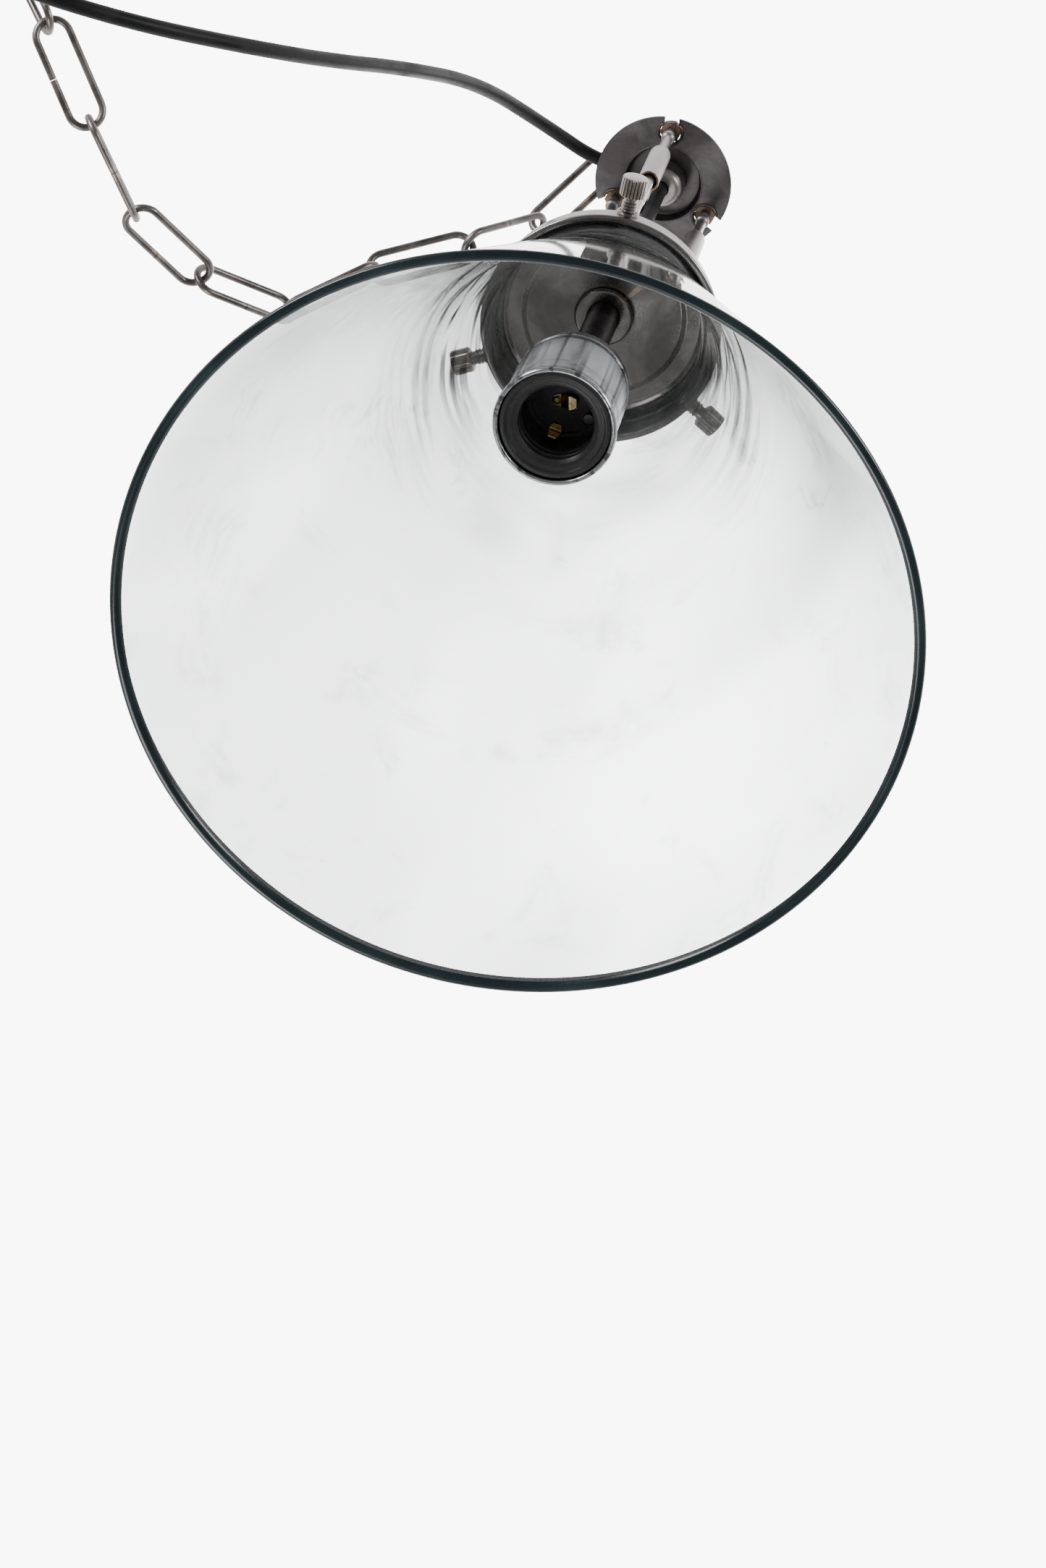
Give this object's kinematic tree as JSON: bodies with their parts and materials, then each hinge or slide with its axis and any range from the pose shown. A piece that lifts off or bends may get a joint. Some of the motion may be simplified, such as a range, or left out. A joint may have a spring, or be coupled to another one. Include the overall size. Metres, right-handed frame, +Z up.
{
  "type": "pendant lamp with glass cone shade",
  "caption": "Pendant lamp with a clear glass cone shade in a screw gallery, a lampholder on a stem under a top disc, a slack chain and a flex up to a ceiling rose.",
  "frame": {"origin": "centre of the hanging eye's bore on top of the lamp", "axes": "+Z up along the stem, +Y along the eye's bore, away from the chain's ceiling rose; -X towards the chain"},
  "size_m": [0.4268, 0.2848, 0.4876],
  "materials": {
    "clear_glass": "clear, polished",
    "antiqued_silver": "polished, worn at the edges",
    "chrome": "polished",
    "brass": "satin",
    "black_plastic": "gloss",
    "dark_bronze": "oiled, worn at the edges",
    "satin_steel": "satin",
    "pewter_steel": "antiqued",
    "black_flex": "soft sheen",
    "plain_steel": "plain"
  },
  "bodies": {
    "lamp": {"hanging_eye": "dark_bronze", "top_disc": "dark_bronze", "disc_nipple": "plain_steel", "cord_collar": "satin_steel", "pillar_1": "satin_steel", "pillar_2": "satin_steel", "pillar_3": "satin_steel", "pillar_nuts": "dark_bronze", "nipple_tube": "dark_bronze", "flange_washer": "antiqued_silver", "spider_plate": "dark_bronze", "locknut": "plain_steel", "nipple_bush": "black_plastic", "holder_cap": "chrome", "holder_liner": "black_plastic", "holder_core": "black_plastic", "terminals": "brass", "flex_inside": "black_flex", "flex_cores": "black_flex", "flex_cable": "black_flex", "rose_eye": "pewter_steel", "ceiling_rose": "dark_bronze", "rose_nut": "plain_steel", "rose_gland": "black_plastic", "rose_bar": "plain_steel", "rose_screws": "plain_steel"},
    "gallery_group": {"gallery": "antiqued_silver", "gallery_bosses": "antiqued_silver", "glass_shade": "clear_glass"},
    "skirt": {"holder_skirt": "chrome"},
    "centre_spring": {"centre_contact": "brass"},
    "side_spring": {"side_contact": "brass"},
    "ring": {"jump_ring": "pewter_steel"},
    "screw_1": {"thumbscrew_1": "antiqued_silver"},
    "screw_2": {"thumbscrew_2": "antiqued_silver"},
    "screw_3": {"thumbscrew_3": "antiqued_silver"},
    "link_1": {"chain_link_1": "pewter_steel"},
    "link_2": {"chain_link_2": "pewter_steel"},
    "link_3": {"chain_link_3": "pewter_steel"},
    "link_4": {"chain_link_4": "pewter_steel"},
    "link_5": {"chain_link_5": "pewter_steel"},
    "link_6": {"chain_link_6": "pewter_steel"},
    "link_7": {"chain_link_7": "pewter_steel"},
    "link_8": {"chain_link_8": "pewter_steel"},
    "link_9": {"chain_link_9": "pewter_steel"},
    "link_10": {"chain_link_10": "pewter_steel"}
  },
  "joints": [
    {"name": "gallery_rock", "type": "hinge", "parent": "lamp", "child": "gallery_group", "pos_m": [0, 0, -0.1889], "axis": [0.3697, -0.9292, 0], "range_deg": [-6.6, 0.4]},
    {"name": "thumbscrew_1_out", "type": "slide", "parent": "gallery_group", "child": "screw_1", "axis": [0.2081, -0.9781, -0.0091], "range_m": [0, 0.004]},
    {"name": "thumbscrew_2_out", "type": "slide", "parent": "gallery_group", "child": "screw_2", "axis": [0.7419, 0.6686, 0.0507], "range_m": [0, 0.004]},
    {"name": "thumbscrew_3_out", "type": "slide", "parent": "gallery_group", "child": "screw_3", "axis": [-0.95, 0.3094, -0.0416], "range_m": [0, 0.004]},
    {"name": "skirt_turn", "type": "hinge", "parent": "lamp", "child": "skirt", "pos_m": [0, 0, -0.285], "axis": [0, 0, 1], "range_deg": [0, 360]},
    {"name": "centre_contact_flex", "type": "hinge", "parent": "lamp", "child": "centre_spring", "pos_m": [-0.0016, 0, -0.27735], "axis": [0, -1, 0], "range_deg": [0, 10], "stiffness_Nm_per_rad": 0.0002},
    {"name": "side_contact_flex", "type": "hinge", "parent": "lamp", "child": "side_spring", "pos_m": [-0.00397, 0.01154, -0.27735], "axis": [0.9455, 0.3256, 0], "range_deg": [0, 3], "stiffness_Nm_per_rad": 0.0005},
    {"name": "jump_ring_swing", "type": "hinge", "parent": "lamp", "child": "ring", "pos_m": [-0.01782, 0, -0.00459], "axis": [-0.9684, 0, -0.2496], "range_deg": [-10, 10]},
    {"name": "link_1_swing", "type": "hinge", "parent": "lamp", "child": "link_1", "pos_m": [-0.03867, 0.01101, -0.01719], "axis": [-0.64, 0.5564, -0.5299], "range_deg": [-10, 10]},
    {"name": "link_2_swing", "type": "hinge", "parent": "lamp", "child": "link_2", "pos_m": [-0.0633, 0.02164, -0.04355], "axis": [-0.6014, -0.021, -0.7986], "range_deg": [-10, 10]},
    {"name": "link_3_swing", "type": "hinge", "parent": "lamp", "child": "link_3", "pos_m": [-0.09325, 0.02472, -0.06722], "axis": [-0.9036, 0.1756, -0.3907], "range_deg": [-10, 10]},
    {"name": "link_4_swing", "type": "hinge", "parent": "lamp", "child": "link_4", "pos_m": [-0.12675, 0.03384, -0.08652], "axis": [-0.7698, 0.2802, -0.5736], "range_deg": [-10, 10]},
    {"name": "link_5_swing", "type": "hinge", "parent": "lamp", "child": "link_5", "pos_m": [-0.1573, 0.03015, -0.1062], "axis": [-0.7769, -0.4668, -0.4226], "range_deg": [-10, 10]},
    {"name": "link_6_swing", "type": "hinge", "parent": "lamp", "child": "link_6", "pos_m": [-0.18363, 0.00594, -0.12245], "axis": [-0.5411, -0.7447, -0.3907], "range_deg": [-10, 10]},
    {"name": "link_7_swing", "type": "hinge", "parent": "lamp", "child": "link_7", "pos_m": [-0.2019, -0.02739, -0.13165], "axis": [-0.3737, -0.9249, -0.0698], "range_deg": [-10, 10]},
    {"name": "link_8_swing", "type": "hinge", "parent": "lamp", "child": "link_8", "pos_m": [-0.21796, -0.06349, -0.12888], "axis": [-0.4288, -0.8792, 0.2079], "range_deg": [-10, 10]},
    {"name": "link_9_swing", "type": "hinge", "parent": "lamp", "child": "link_9", "pos_m": [-0.23714, -0.0937, -0.11358], "axis": [-0.5329, -0.6351, 0.5592], "range_deg": [-10, 10]},
    {"name": "link_10_swing", "type": "hinge", "parent": "lamp", "child": "link_10", "pos_m": [-0.25244, -0.11119, -0.08382], "axis": [-0.2376, -0.246, 0.9397], "range_deg": [-10, 10]}
  ]
}
